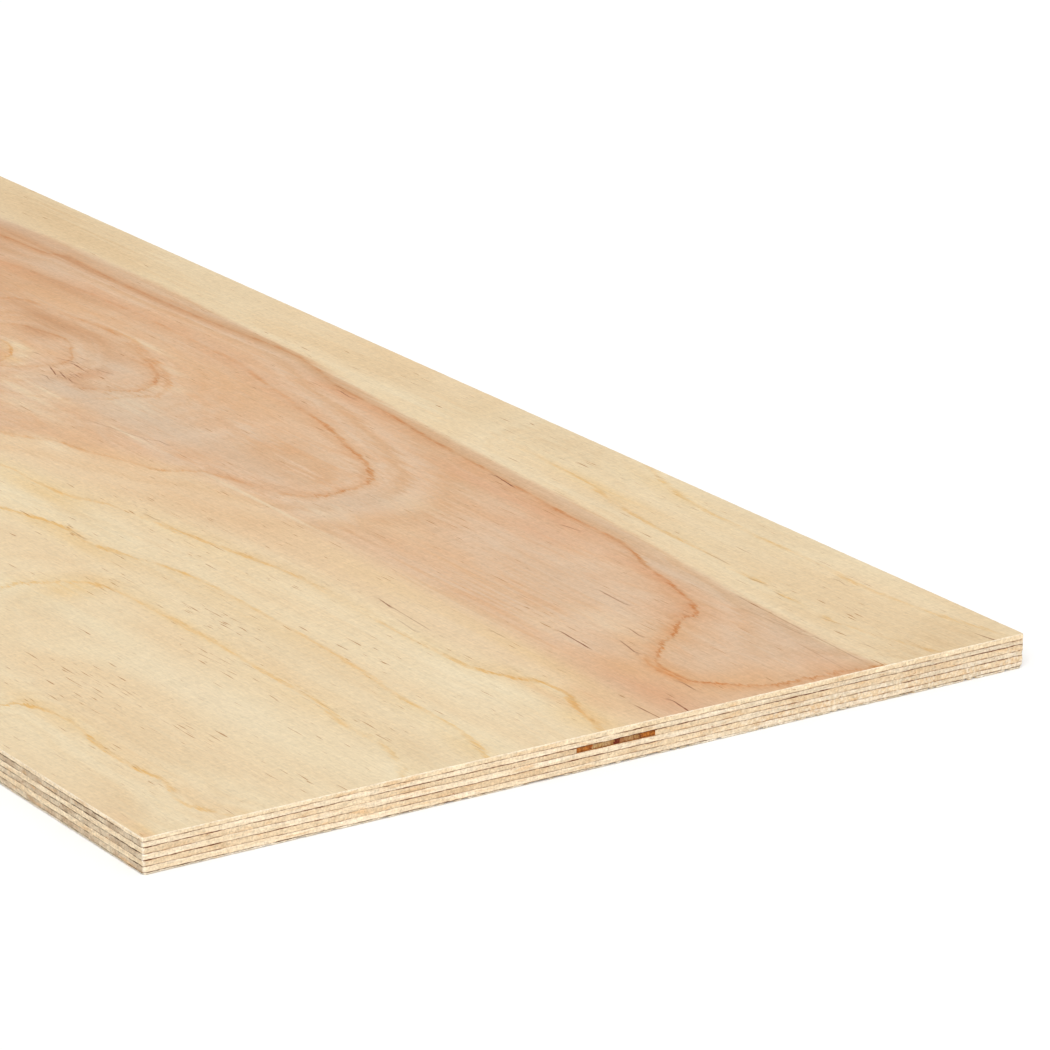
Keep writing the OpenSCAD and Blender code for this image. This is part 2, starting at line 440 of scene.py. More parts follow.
# The face's drawn figure. A ring is (group, age, tone, width, side of its shaded wood, points), and each
# point is (x, y, strength). Rings of one group stay well apart, and ages count outwards from the knot.
# Tone 0 is a yellow line in sapwood, 1 a red-brown one in heartwood.
rings = {
    "heartRing": (0, 4, 1.0, 1.0, -1, (
        (-625, 118, 0.4), (-520, 148, 0.4), (-420, 170, 0.45), (-330, 180, 0.5), (-272, 184, 0.6),
        (-249, 191, 0.8), (-200, 190, 0.5), (-157, 190, 0.5), (-95, 192, 0.5), (-38, 196, 0.55),
        (0, 199, 0.6), (37, 196, 0.6), (68, 188, 0.6), (97, 185.5, 0.65), (134, 183, 0.6),
        (174, 179, 0.6), (200, 176.5, 0.65), (247, 173.5, 0.8), (292, 169.5, 0.9), (350, 165, 0.8),
        (390, 164.5, 0.75), (410, 161, 0.85), (440, 152, 0.85), (470, 146.5, 0.8), (500, 138.5, 0.9),
        (513, 130, 0.95), (513, 123.5, 0.9), (522, 112, 0.9), (530, 106, 0.9), (535, 99, 0.85),
        (538, 92.5, 0.85), (547, 85, 0.9), (557, 76.5, 0.95), (566, 72, 1.0), (580, 72.3, 0.95),
        (591, 73, 0.9), (597, 78.5, 0.85), (604, 83.5, 0.85), (610, 91, 0.85), (617, 101, 0.85),
        (619, 120, 0.85), (620.5, 140, 0.9), (623, 158, 1.0), (626, 168, 1.0))),
    "heartEcho": (2, 4.1, 0.6, 0.9, -1, (
        (545, 80, 0.0), (556, 71.5, 0.6), (566, 69, 0.8), (578, 69, 0.8), (590, 69.5, 0.5),
        (600, 71, 0.0))),
    "innerRing": (1, 3, 0.9, 1.4, -1, (
        (-380, 128, 0.3), (-300, 146, 0.35), (-249, 154, 0.4), (-211, 158.5, 0.4), (-172, 162, 0.4),
        (-115, 164.5, 0.4), (-57, 163.5, 0.4), (0, 163, 0.4), (42, 156.5, 0.45), (76, 151, 0.5),
        (108, 146, 0.6), (139, 141.5, 0.75), (174, 133, 0.9), (203, 126, 1.0), (218, 120, 1.0),
        (234, 113, 1.0), (242, 101, 1.0), (246, 87, 0.9), (245, 74, 0.75), (239, 63, 0.6),
        (224, 56.5, 0.55), (203, 50, 0.55), (182, 45.5, 0.45), (172, 41, 0.4), (160, 25, 0.5),
        (139, 18.5, 0.4), (108, 8, 0.4), (82, 2.5, 0.45), (63, -9, 0.5), (51, -14.5, 0.4),
        (-20, -32, 0.4), (-120, -46, 0.4), (-230, -42, 0.4), (-340, -18, 0.4), (-420, 30, 0.4),
        (-438, 82, 0.35), (-380, 128, 0.3))),
    "knotLoop": (0, 2, 0.8, 2.0, -1, (
        (-200, 104, 0.3), (-188, 117, 0.4), (-172, 125, 0.45), (-145, 127, 0.5), (-122, 131.5, 0.55),
        (-95, 134.5, 0.6), (-65, 134.5, 0.5), (-38, 128, 0.45), (1, 117, 0.4), (24, 106, 0.45),
        (37, 92, 0.5), (33, 82, 0.3), (10, 40, 0.2), (-60, 8, 0.25), (-150, 12, 0.3),
        (-205, 60, 0.3), (-200, 104, 0.3))),
    "knotArc": (2, 1.8, 1.0, 0.9, -1, (
        (-60, 129, 0.2), (-46, 125.5, 0.35), (-25, 120, 0.4), (-8, 115.4, 0.55), (8.5, 107.5, 0.75),
        (17, 100, 0.75), (21, 93, 0.65), (22, 85.8, 0.55), (15.5, 76.5, 0.5), (6.5, 68, 0.5),
        (1, 64, 0.4))),
    "knotEye": (1, 1, 0.85, 1.0, -1, (
        (-152, 66, 0.4), (-143, 85, 0.55), (-132, 95.5, 0.7), (-115, 99.3, 0.75),
        (-103, 102.4, 0.75), (-91, 103.2, 0.75), (-80, 99.8, 0.7), (-66, 93, 0.65), (-55, 87, 0.65),
        (-49, 78, 0.35), (-52, 64, 0.3), (-64, 46, 0.3), (-100, 36, 0.4), (-138, 46, 0.4),
        (-152, 66, 0.4))),
    "eyeRing": (2, 0.5, 0.4, 0.8, -1, (
        (-118, 70, 0.2), (-108, 71.5, 0.5), (-97, 69.5, 0.7), (-85, 63.5, 0.8), (-77, 56, 0.8),
        (-73, 48, 0.6), (-75, 42, 0.2))),
    "sapRing1": (0, 4, 0.25, 1.5, 1, (
        (-625, -10, 0.5), (-520, -40, 0.5), (-400, -80, 0.5), (-260, -100, 0.5), (-120, -95, 0.5),
        (0, -75, 0.5), (60, -58, 0.5), (108, -42, 0.6), (134, -42, 0.6), (171, -38, 0.7),
        (200, -28, 0.7), (229, -22, 0.8), (260, -19.5, 0.7), (300, -13, 0.7), (325, -10, 0.7),
        (358, -6, 0.65), (398, -6, 0.6), (432, -7.5, 0.55), (478, -7.5, 0.55), (518, -5, 0.7),
        (535, 1.5, 0.9), (552, 10.5, 1.0), (572, 12.5, 1.0), (585, 8.5, 1.0), (602, 3.5, 0.85),
        (623, -1.5, 0.6))),
    "sapRing2": (1, 5, 0.1, 1.4, -1, (
        (-625, -85, 0.5), (-480, -120, 0.5), (-300, -145, 0.5), (-100, -140, 0.5), (60, -112, 0.5),
        (130, -90, 0.5), (171, -77.5, 0.6), (187, -73.5, 0.8), (218, -66, 0.9), (247, -68, 0.8),
        (279, -60.5, 0.6), (318, -51, 0.9), (365, -49, 0.7), (408, -50, 0.6), (452, -50, 0.6),
        (492, -53, 0.6), (542, -56, 0.6), (578, -56, 0.55), (602, -60, 0.6), (626, -66, 0.6))),
    "sapRing3": (0, 6, 0.1, 1.7, 1, (
        (450, -252, 0.4), (420, -235, 0.4), (350, -200, 0.4), (300, -165, 0.5), (285, -137, 0.6),
        (286, -126, 0.7), (292, -115, 0.8), (300, -102, 0.7), (315, -95, 0.62), (335, -93, 0.52),
        (375, -91.5, 0.45), (425, -91.5, 0.48), (475, -93, 0.65), (518, -93, 0.7), (545, -98, 0.6),
        (575, -98, 0.6), (602, -103, 0.55), (626, -112, 0.6))),
    "sapRing4": (1, 7, 0.15, 1.3, 1, (
        (425, -252, 0.4), (432, -235, 0.8), (438, -221.5, 1.2), (443, -213, 1.2), (455, -207, 1.2),
        (478, -205, 1.05), (508, -209, 0.95), (542, -210, 0.9), (568, -207, 0.95), (592, -213, 0.95),
        (605, -211.5, 0.95), (626, -202, 0.85))),
    "sapRing5": (0, 6, 0.1, 1.5, 1, (
        (-625, -150, 0.5), (-400, -185, 0.5), (-150, -195, 0.5), (50, -180, 0.5), (150, -162, 0.5),
        (195, -176, 0.5), (185, -208, 0.5), (90, -236, 0.5), (-20, -252, 0.5))),
    "upperRing1": (1, 5, 0.15, 1.2, 1, (
        (230, 209, 0.2), (275, 208, 0.8), (308, 205, 0.8), (328, 200, 0.7), (358, 196, 0.6),
        (392, 192, 0.5), (438, 190.5, 0.5), (478, 187, 0.4), (488, 186.5, 0.9), (497, 185.8, 0.3),
        (508, 184, 0.9), (516, 182.8, 0.9), (526, 183, 0.25), (545, 182, 0.25), (556, 181.5, 0.9),
        (564, 183, 0.3), (580, 185.7, 0.5), (596, 189.5, 0.5), (608, 192.5, 0.5), (626, 198, 0.6))),
    "upperRing2": (0, 6, 0.1, 1.4, -1, (
        (290, 252, 0.4), (318, 243, 0.5), (345, 236, 0.7), (375, 231.5, 0.6), (425, 228.5, 0.6),
        (475, 228.5, 0.5), (525, 226, 0.7), (558, 229, 0.6), (592, 234, 0.6), (626, 242, 0.6))),
}
# Edges of the heartwood band as (x, y): a crisp one towards +Y, a soft one towards -Y and, further out, the
# edge of the warm wood between heartwood and sapwood
heartUpper = ((-625, 142), (-520, 170), (-420, 190), (-345, 200), (-307, 204), (-249, 206),
              (-134, 206.5), (-60, 204), (-18, 202.5), (20, 201.5), (50, 198), (100, 193.5),
              (150, 189.5), (200, 186.5), (225, 185.5), (275, 182), (325, 180.5), (392, 176.5),
              (442, 172), (492, 167), (542, 164), (585, 160.5), (625, 164))
heartLower = ((-625, 10), (-450, -20), (-250, -50), (-60, -40), (40, -14), (110, 20), (165, 38),
              (230, 43), (320, 43), (400, 42), (460, 42), (520, 38), (570, 34), (625, 30))
passageLower = ((-625, -10), (-260, -98), (0, -75), (108, -42), (200, -28), (300, -13), (398, -6),
                (518, -5), (552, 9), (572, 11), (602, 3), (625, -2))
# Soft patches of tone as (x, y, half length, half width, amount), one list for each tone
clouds = {
    "rose": (
        (590, 50, 40, 12, 0.8), (505, 128, 22, 12, 0.6), (260, 160, 60, 9, 0.3),
        (360, 138, 32, 14, 0.6), (330, 156, 80, 8, 0.5), (-20, 80, 7, 12, 0.9),
        (150, 172, 60, 6, 0.2), (445, 148, 40, 5, 0.6), (605, 140, 25, 12, 0.3),
        (-248, 150, 45, 7, 0.8), (-170, 165, 60, 6, 0.6), (-60, 171, 60, 6, 0.4),
        (20, 160, 50, 5, 0.4), (90, 148, 50, 5, 0.4), (100, 180, 50, 6, 0.6), (475, 138, 25, 7, 0.4)),
    "grey": (
        (266, 82, 16, 30, 0.8), (180, 72, 60, 13, 0.4), (35, 72, 40, 14, 0.7),
        (578, 125, 26, 34, 0.35), (560, 152, 45, 9, 0.35), (-10, 52, 30, 10, 0.8),
        (450, 158, 50, 6, 0.5), (-240, 172, 40, 10, 0.6), (420, 105, 60, 20, 0.35),
        (-25, 100, 35, 14, 0.6), (95, 66, 45, 14, 0.6), (-340, 196, 70, 7, 0.5),
        (40, 50, 50, 10, 0.5)),
    "orange": (
        (355, 74, 70, 20, 0.5), (60, 128, 90, 18, 0.5), (90, 14, 60, 12, 0.6), (30, 44, 35, 7, 0.4),
        (-190, 142, 70, 14, 0.7), (240, 20, 80, 16, 0.3), (542, 42, 30, 10, 0.3),
        (600, -246, 14, 3, 0.3), (572, 4, 40, 5, 0.3), (-86, 58, 8, 5, 0.6), (-72, 82, 10, 7, 0.5),
        (-133, 84, 25, 9, 0.5), (0, 140, 90, 8, 0.4), (-40, 178, 80, 6, 0.3), (570, 72, 24, 5, 0.9),
        (530, 104, 9, 10, 0.5), (525, 82, 16, 8, 0.6), (605, 90, 20, 30, 0.75),
        (560, 58, 22, 8, 0.85), (585, 20, 32, 10, 0.5), (623, -247, 5, 3, 0.6)),
    "pale": (
        (215, 42, 40, 1.0, 0.75), (270, 41.5, 50, 0.9, 0.5), (-5, 43, 40, 1.1, 0.25),
        (84, -1, 22, 6, 0.45), (-96, 73, 14, 4, 0.7), (-77, 66, 7, 5, 0.6), (-63, 54, 6, 6, 0.5),
        (-20, 33, 22, 5, 0.45), (10, 31, 26, 2.5, 0.4), (-40, 48, 4, 12, 0.3),
        (94, 41.7, 24, 1.2, 0.5), (500, 88, 30, 12, 0.3), (450, 20, 60, 6, 0.3),
        (6, 19, 18, 7, 0.45), (40, 22, 26, 7, 0.25), (23, 98, 7, 5, 0.35), (45, 72, 25, 12, 0.25),
        (285, 106, 22, 14, 0.3), (480, 60, 25, 9, 0.35), (320, 79, 22, 9, 0.2),
        (300, 189, 140, 3, 0.5), (540, 169, 90, 3, 0.4), (330, 0, 70, 5, 0.3),
        (540, -25, 60, 10, 0.4), (480, -135, 90, 16, 0.6), (0, 207, 160, 2, 0.4),
        (-55, 137, 30, 2.5, 0.6), (0, 123, 14, 3, 0.4), (33, 108, 8, 5, 0.35),
        (280, 60, 30, 12, 0.3), (0, 40, 20, 8, 0.3)),
    "tan": (
        (-350, 228, 230, 40, 0.9), (605, 226, 30, 22, 0.75), (350, 192, 90, 8, 0.35),
        (600, -90, 32, 12, 0.45), (530, -185, 70, 14, 0.35), (100, 225, 120, 20, 0.45),
        (300, -62, 50, 12, 0.25), (450, -70, 60, 12, 0.3), (200, -50, 40, 9, 0.5),
        (550, 205, 60, 16, 0.4), (580, -236, 40, 10, 0.4), (450, 206, 60, 14, 0.3),
        (-625, -60, 300, 90, 0.6), (-300, -180, 200, 30, 0.5), (60, -220, 160, 20, 0.5),
        (618, 188, 22, 26, 0.8), (540, 180, 60, 14, 0.35), (240, 234, 70, 20, 0.6),
        (-120, 230, 80, 20, 0.2), (420, 236, 70, 16, 0.45), (320, -140, 30, 12, 0.4)),
    "brown": (
        (-135, 114, 55, 9, 0.9), (-250, 128, 60, 14, 0.6), (-330, 168, 80, 9, 0.7),
        (-180, 158, 90, 4, 0.4), (-110, 92, 22, 8, 0.5), (-10, 66, 14, 4, 0.6),
        (-200, 150, 50, 10, 0.5), (-330, 178, 60, 8, 0.5), (-235, 188, 60, 6, 0.75),
        (-140, 190, 60, 6, 0.65), (-45, 195, 50, 6, 0.4), (60, 188, 40, 5, 0.45),
        (-22, 77, 4, 6, 0.6), (-15, 77, 3, 6, 0.5), (-20, 90, 6, 4, 0.5), (-120, 100, 20, 8, 0.5),
        (-80, 118, 25, 7, 0.4), (-260, 199, 70, 5, 0.35), (-320, 191, 45, 7, 0.65),
        (-251, 191, 7, 3, 0.9), (-40, 109, 18, 7, 0.45)),
    "gold": (
        (305, -110, 16, 18, 0.7), (380, -92, 60, 5, 0.5), (470, -207, 50, 5, 0.5),
        (230, -72, 50, 8, 0.5), (290, -22, 60, 9, 0.25), (545, 6, 25, 5, 0.5),
        (320, 205, 50, 5, 0.5), (600, 8, 30, 6, 0.4), (340, 235, 40, 6, 0.4), (150, -48, 50, 8, 0.5),
        (520, 30, 80, 6, 0.45), (360, -60, 90, 9, 0.15), (605, -2, 22, 9, 0.5),
        (165, -42, 30, 8, 0.4), (617, -245, 12, 5, 0.6), (-92, 70, 16, 7, 0.5), (-74, 57, 9, 5, 0.5),
        (380, 26, 50, 10, 0.3), (520, -100, 60, 6, 0.3), (605, -65, 20, 10, 0.3)),
    "fleck": (
        (385, -72, 40, 10, 1.0), (395, -76, 22, 5, 0.4), (312, -85, 20, 14, 0.7),
        (440, -106, 50, 6, 0.75), (520, -165, 26, 8, 0.85), (440, -180, 50, 24, 0.75),
        (560, -88, 30, 5, 0.7), (240, -6, 30, 9, 0.6), (-30, 78, 28, 16, 1.0),
        (300, -30, 60, 10, 0.5), (230, -64, 40, 14, 0.6), (560, 195, 50, 14, 0.55),
        (300, 225, 90, 14, 0.45), (500, -95, 60, 5, 0.6), (460, -45, 70, 10, 0.45),
        (600, -150, 20, 20, 0.5), (350, 100, 60, 18, 0.4), (470, 70, 40, 14, 0.45)),
}
# Fine cracks along the grain, drawn as dark lines of painted shade inside the crack, as (from, to, y, rise,
# darkness), in two sets so that close neighbours keep apart
checks = {
    "checkA": (
        (455, 480, 111, -1, 0.6), (511, 525, 91, -2, 0.7), (497, 526, 60, -2, 1.0),
        (590, 602, 68, -1, 0.8), (608, 630, 50, -3, 1.0), (604, 630, 31, 0, 0.8),
        (405, 420, 11, -2, 0.8), (358, 370, 154, 2, 0.6), (266, 290, 171, -3, 1.0),
        (86, 100, 183, -2, 0.7), (436, 458, 191, -1, 0.4), (612, 626, 230, 2, 0.8),
        (476, 490, 32, 0, 0.4), (108, 120, 50, 0, 0.5), (224, 238, -66, -1, 0.5),
        (222, 232, -20, 0, 0.4), (-48, -28, 68.5, -6, 0.85), (-22, -12, 66.2, -2.4, 0.65),
        (-45, -31, 82.3, -1, 0.85), (-54, -47, 91.8, 0, 0.6), (-77, -70, 74.6, 1, 0.5),
        (508, 518, 222, -2, 0.4), (484, 494, 186, 1, 0.5), (553, 560, 180.6, 1, 0.5),
        (57, 118, 36, 12, 0.25), (436, 456, 2, -2, 0.3)),
    "checkB": (
        (524, 544, 77, -4, 0.75), (412, 460, 10, -3, 0.4), (506, 515, 184, -1, 0.5),
        (596, 602, 174.9, 0, 0.5), (-35, -21, 68, -3.4, 0.8), (-56, -48, 81.5, 3, 0.75),
        (-33, -24, 58, -2.5, 0.55), (-28, -18, 73, -1, 0.6), (-26, -14, 88, 3, 0.5),
        (500, 566, 164.4, -3.2, 0.34), (568, 612, 160.8, -1.8, 0.36), (522, 578, 156, 1.8, 0.2),
        (575, 622, 148, -3, 0.2)),
}
# How far the drawn lines and borders reach
figureReach = {
    "ringStep": 3.0,
    "ringShade": (17, 25),  # a ring's shading ends between these distances from its line
    "pastRing": (2, 14),  # and its line between these distances past its ends
    "ageSoftness": 0.5,
    "agePower": -1.5,
    "checkFade": 3,
    "checkSide": (2.6, 4.2),
    "heartBorder": (-14, 10),
    "passageBorder": (-2, 26),
}
samplesPerPoint = 40
searchParts = 60  # the nearest-point search runs in parts to save memory


def smoothLine(points, step):
    # a cubic through the given points, each tangent from its two neighbours, walked in even steps
    p = np.array(points, float)
    p = np.vstack([2 * p[0] - p[1], p, 2 * p[-1] - p[-2]])
    t = np.linspace(0, len(points) - 1, samplesPerPoint * len(points))
    i = np.minimum(t.astype(int), len(points) - 2)
    f = (t - i)[:, None]
    a, b, c, d = p[i], p[i + 1], p[i + 2], p[i + 3]
    curve = b + 0.5 * f * (c - a + f * (2 * a - 5 * b + 4 * c - d + f * (3 * (b - c) + d - a)))
    length = np.insert(np.cumsum(np.hypot(*np.diff(curve[:, :2], axis=0).T)), 0, 0)
    even = np.linspace(0, length[-1], max(int(length[-1] / step), 4))
    return np.stack([np.interp(even, length, curve[:, k]) for k in range(3)], -1)


def ringPlace(x, y, points):
    # signed distance from a ring: the offset from its nearest point, crossed with its direction there.
    # Also its strength there, fading past its ends, and how fast the distance changes along the grain.
    path = smoothLine(points, figureReach["ringStep"])
    heading = np.gradient(path[:, :2], axis=0)
    heading /= np.hypot(*heading.T)[:, None]
    nearest = np.concatenate([
        np.argmin((x[part, None] - path[:, 0]) ** 2 + (y[part, None] - path[:, 1]) ** 2, axis=1)
        for part in np.array_split(np.arange(len(x)), searchParts)])
    offX = x - path[nearest, 0]
    offY = y - path[nearest, 1]
    across = heading[nearest, 0] * offY - heading[nearest, 1] * offX
    along = heading[nearest, 0] * offX + heading[nearest, 1] * offY
    past = np.where((nearest == 0) | (nearest == len(path) - 1), np.abs(along), 0)
    strength = path[nearest, 2] * (1 - smoothStep(*figureReach["pastRing"], past))
    return across, strength, -heading[nearest, 1], np.hypot(across, past)


def drawnChecks(x, y, lines):
    # distance from the nearest crack of a set and how dark its painted shade is there, fading at its ends
    found = np.zeros((len(x), 3))
    for start, end, place, rise, darkness in lines:
        offset = y - place - rise * (x - start) / (end - start)
        present = softStretch(start, end, figureReach["checkFade"], x)
        present = present * darkness * (1 - smoothStep(*figureReach["checkSide"], np.abs(offset)))
        better = present > found[:, 1]
        found[better] = np.stack([offset, present, np.zeros(len(x))], -1)[better]
    return found


def faceFigure(x, y):
    # everything that the face's finish reads, point by point, as named groups of three values. The age
    # is the mean of the rings' ages, each weighted by its nearness; a patch fades like a bell curve.
    groups = np.zeros((3, len(x), 3))
    slopes = np.zeros((len(x), 3))
    nearestRing = np.full((3, len(x)), np.inf)
    weights = np.zeros(len(x))
    ages = np.zeros(len(x))
    for group, age, tone, width, shaded, points in rings.values():
        across, strength, slope, distance = ringPlace(x, y, points)
        nearness = (distance + figureReach["ageSoftness"]) ** figureReach["agePower"]
        weights += nearness
        ages += age * nearness
        strength = strength * (1 - smoothStep(*figureReach["ringShade"], distance))
        better = distance < nearestRing[group]
        nearestRing[group][better] = distance[better]
        values = np.stack([shaded * across / width, strength, np.full(len(x), tone)], -1)
        groups[group][better] = values[better]
        slopes[better, group] = shaded * slope[better] / width
    tones = {}
    for tone, patches in clouds.items():
        tones[tone] = sum(amount * np.exp(-((x - px) / rx) ** 2 - ((y - py) / ry) ** 2)
                          for px, py, rx, ry, amount in patches)
    upper = np.interp(x, *zip(*heartUpper)) - y
    heart = smoothStep(*figureReach["heartBorder"], y - np.interp(x, *zip(*heartLower)))
    passage = smoothStep(*figureReach["passageBorder"], y - np.interp(x, *zip(*passageLower)))
    return {
        "ringA": groups[0],
        "ringB": groups[1],
        "ringC": groups[2],
        "ringSlope": slopes,
        "zone": np.stack([upper, heart, passage], -1),
        "cloud": np.stack([tones["rose"], tones["grey"], tones["orange"]], -1),
        **{name: drawnChecks(x, y, lines) for name, lines in checks.items()},
        "spot": np.stack([tones["fleck"], tones["pale"], tones["tan"]], -1),
        "tint": np.stack([tones["brown"], tones["gold"], ages / weights], -1),
    }


def addNode(tree, kind, inputs=(), output=0, **settings):
    # one node with its settings; an input is a plain value or the socket that feeds it. Gives one output.
    node = tree.nodes.new("ShaderNode" + kind)
    for name, value in settings.items():
        setattr(node, name, value)
    for socket, value in inputs.items() if isinstance(inputs, dict) else enumerate(inputs):
        if isinstance(value, bpy.types.NodeSocket):
            tree.links.new(value, node.inputs[socket])
        else:
            node.inputs[socket].default_value = value
    return node.outputs[output]


rawWood = {"IOR": 1.53, "Specular IOR Level": 0.2}  # no coat, so little gloss


def newMaterial(name, surface):
    # a material with constant values on its shader's own sockets
    material = bpy.data.materials.new(name)
    material.use_nodes = True
    shader = material.node_tree.nodes["Principled BSDF"]
    for socket, value in surface.items():
        shader.inputs[socket].default_value = value
    return material, material.node_tree, shader


def inScene(name, data):
    # one object, linked to the scene at the origin
    made = bpy.data.objects.new(name, data)
    bpy.context.scene.collection.objects.link(made)
    return made


def placeOf(tree, axis=None):
    # place on the sheet in millimetres; with an axis, the place along it and up one of the sawn sides
    place = addNode(tree, "TexCoord", output="Object")
    if axis:
        axes = addNode(tree, "SeparateXYZ", (place,)).node.outputs
        place = addNode(tree, "CombineXYZ", (axes[axis], axes["Z"]))
    return addNode(tree, "VectorMath", {0: place, "Scale": 1 / mm}, operation="SCALE")


def fieldOf(tree, name):
    # the three values that the mesh carries under one name
    vector = addNode(tree, "Attribute", output="Vector", attribute_name=name)
    return addNode(tree, "SeparateXYZ", (vector,)).node.outputs


# The last three set the noises of one finish apart
noiseLook = {"roughness": 0.6, "distortion": 0.5, "seedStep": 73.0, "nextAcross": 31.0, "nextUp": 3.7}


def grainTextures(tree, place, look, seed):
    # noise for each named grain: its size along and across in mm, its detail and its lean in degrees.
    # Each mask then stretches one noise: its levels, low and high, become the two values after them.
    found = {}
    for number, (name, (along, across, detail, lean)) in enumerate(look["grains"].items()):
        away = (seed * noiseLook["seedStep"], number * noiseLook["nextAcross"],
                seed + noiseLook["nextUp"] * number)
        sized = addNode(tree, "Mapping", {
            "Vector": place, "Scale": (along, across, 1.0), "Rotation": (0, 0, math.radians(lean)),
            "Location": away}, vector_type="TEXTURE")
        found[name] = addNode(tree, "TexNoise", {
            "Vector": sized, "Scale": 1.0, "Detail": detail, "Roughness": noiseLook["roughness"],
            "Distortion": noiseLook["distortion"]})
    for name, (grain, *levels) in look["masks"].items():
        found[name] = addNode(tree, "MapRange", (found[grain], *levels))
    return found


def pushed(tree, value, grain, pushes):
    # a value plus each named noise times its push
    for name, push in pushes.items():
        value = addNode(tree, "Math", (grain[name], push, value), operation="MULTIPLY_ADD")
    return value


def shadeOf(tree, grain, strengths):
    # one plus each noise's swing about its middle, times its strength
    return pushed(tree, 1 - sum(strengths.values()) / 2, grain, strengths)


def layColours(tree, base, layers):
    # lays colours over each other: each layer has a blend type, a mask and a colour or tint
    base = toLinear(base) if isinstance(base, str) else base
    for blend, mask, colour in layers:
        colour = toLinear(colour) if isinstance(colour, str) else colour
        base = addNode(tree, "Mix", {0: mask, 6: base, 7: colour}, 2, data_type="RGBA", blend_type=blend)
    return base


def dressWood(tree, shader, wood, height, relief):
    # the wood's colour and its fine relief, given as strength and depth
    strength, depth = relief
    bump = addNode(tree, "Bump", {"Height": height, "Strength": strength, "Distance": depth * mm})
    tree.links.new(wood, shader.inputs["Base Color"])
    tree.links.new(bump, shader.inputs["Normal"])


# Birch veneer peeled on a lathe and sanded: cream sapwood, a band of pinkish heartwood, broad rings where
# the knife ran through the yearly growth, and short fibres along the sheet that break every line. The real
# fibres and flecks are finer than a pixel, so they are drawn about 1 mm wide to show. Tints in
# brackets multiply the colour under them.
faceFinish = {
    "sapLight": "#ecd9b5", "sapWarm": "#e9d0a9", "passage": "#e5c7a0", "heartRed": "#dcb38d",
    "heartPink": "#dcbb9a", "rose": "#d8a57e", "grey": "#d4bba0", "orange": "#ddae80", "pale": "#ebd9b8",
    "tan": "#dcc097", "brown": "#c6966d", "gold": "#e6c48c", "rim": "#d2b08b",
    "shadedCrack": "#7c3c14", "fleck": "#a4682e",
    "sapLine": (0.96, 0.79, 0.50, 1), "heartLine": (0.84, 0.61, 0.37, 1),
    "sapShade": (0.975, 0.94, 0.86, 1), "heartShade": (0.96, 0.83, 0.72, 1),
    "bandLight": (1.035, 1.075, 1.13, 1), "bandDark": (0.935, 0.855, 0.755, 1),
    "borderPush": {"fibre": 7.0, "streak": 8.0}, "heartEdge": (5.0, 12.0),
    "rimEdge": (13.0, 23.0, 0.6, 0.0), "agePush": {"streak": 0.5, "hair": 0.12},
    "bandCount": 3.6, "bandDetail": 2.0, "bandLevels": (0.3, 0.7),
    "bandForce": (0.3, 0.45),  # in sapwood, and how much more in heartwood
    "ringWidth": (0.1, 1.9), "ringShade": 10.0, "ringOuter": (-1.0, 0.3),
    "fleckPush": 0.13, "fleckLevels": (0.78, 0.86, 0.0, 0.75),
    "checkWander": 1.2, "checkWidth": (0.12, 0.6), "checkRelief": -2.0,
    "surface": {**rawWood, "Roughness": 0.7}, "relief": (0.5, 0.06),
    "grains": {"fibre": (13, 1.2, 3, 0), "hair": (5, 1.1, 2, 0), "streak": (130, 3.2, 2, 0),
               "broad": (190, 42, 1, 0), "cloudy": (52, 13, 4, 0), "jag": (10, 1.9, 2, 0),
               "chatter": (2.4, 26, 1, 0), "fleck": (15, 0.9, 0, 0), "breaks": (24, 12, 1, 0),
               "dust": (2.2, 1.7, 1, 0)},
    "masks": {"warm": ("broad", 0.35, 0.65), "red": ("cloudy", 0.34, 0.66),
              "patchy": ("streak", 0.3, 0.7, 0.55, 1.2), "jagged": ("jag", 0.0, 1.0, -6.0, 6.0),
              "broken": ("breaks", 0.32, 0.68, 0.25, 1.35), "wobble": ("streak", 0.0, 1.0, -2.0, 2.0),
              "fray": ("hair", 0.0, 1.0, -1.6, 1.6), "streaky": ("fibre", 0.3, 0.7, 0.15, 1.5)},
    "shades": {"fibre": 0.22, "hair": 0.22, "streak": 0.08, "chatter": 0.12, "dust": 0.20},
}


